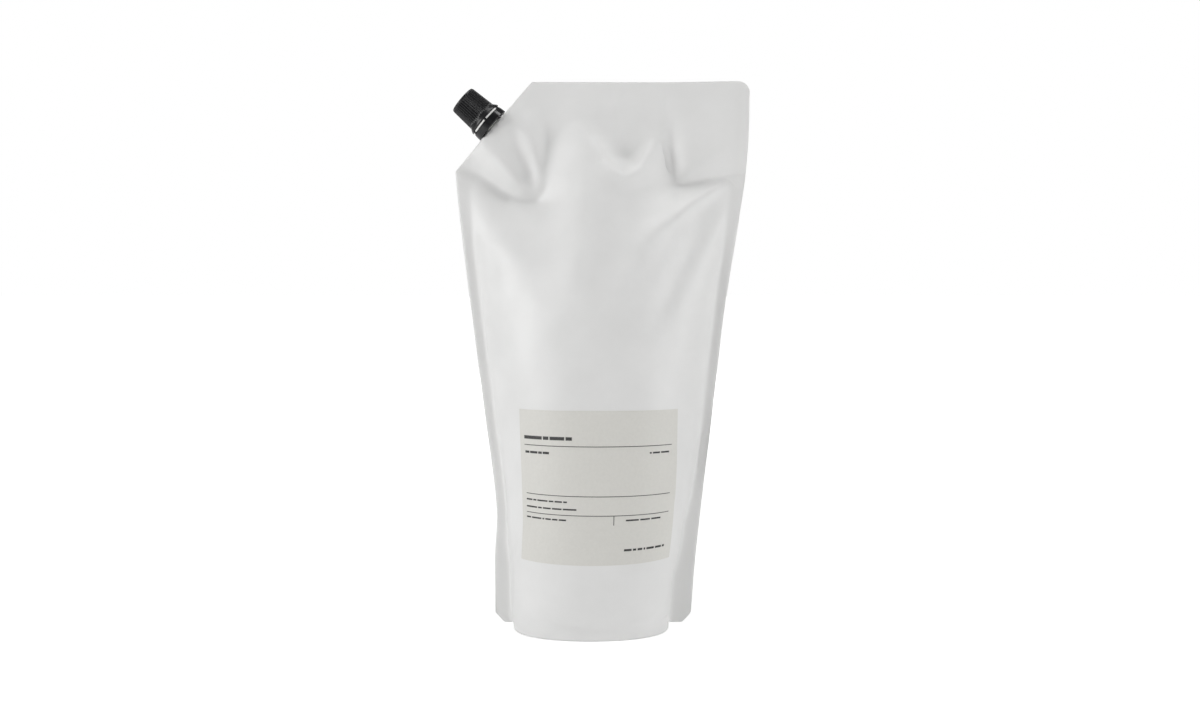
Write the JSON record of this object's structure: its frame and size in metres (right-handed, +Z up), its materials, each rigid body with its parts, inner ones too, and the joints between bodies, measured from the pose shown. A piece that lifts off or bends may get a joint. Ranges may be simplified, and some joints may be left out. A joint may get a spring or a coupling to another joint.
{
  "type": "hand soap refill pack",
  "caption": "Filled stand-up refill pouch of soft white film with a gusseted base, flat welded sides and top, a front label, and a screw-capped pouring spout across one top corner.",
  "frame": {"origin": "under the middle of the pouch, on the surface that it stands on", "axes": "+Z up from the base to the top weld, -Y out of the labelled front, +X to the right of the front, away from the spout"},
  "size_m": [0.1552, 0.0922, 0.2886],
  "materials": {
    "white_film": "satin",
    "label_paper": "matt, warm grey",
    "natural_plastic": "satin",
    "black_plastic": "satin"
  },
  "bodies": {
    "pack": {"pouch": "white_film", "front_label": "label_paper", "spout": "natural_plastic", "tamper_ring": "black_plastic"},
    "cap": {"cap": "black_plastic"}
  },
  "joints": [
    {"name": "cap_lift", "type": "slide", "parent": "pack", "child": "cap", "axis": [-0.7547, 0, 0.6561], "range_m": [0, 0.03]}
  ]
}
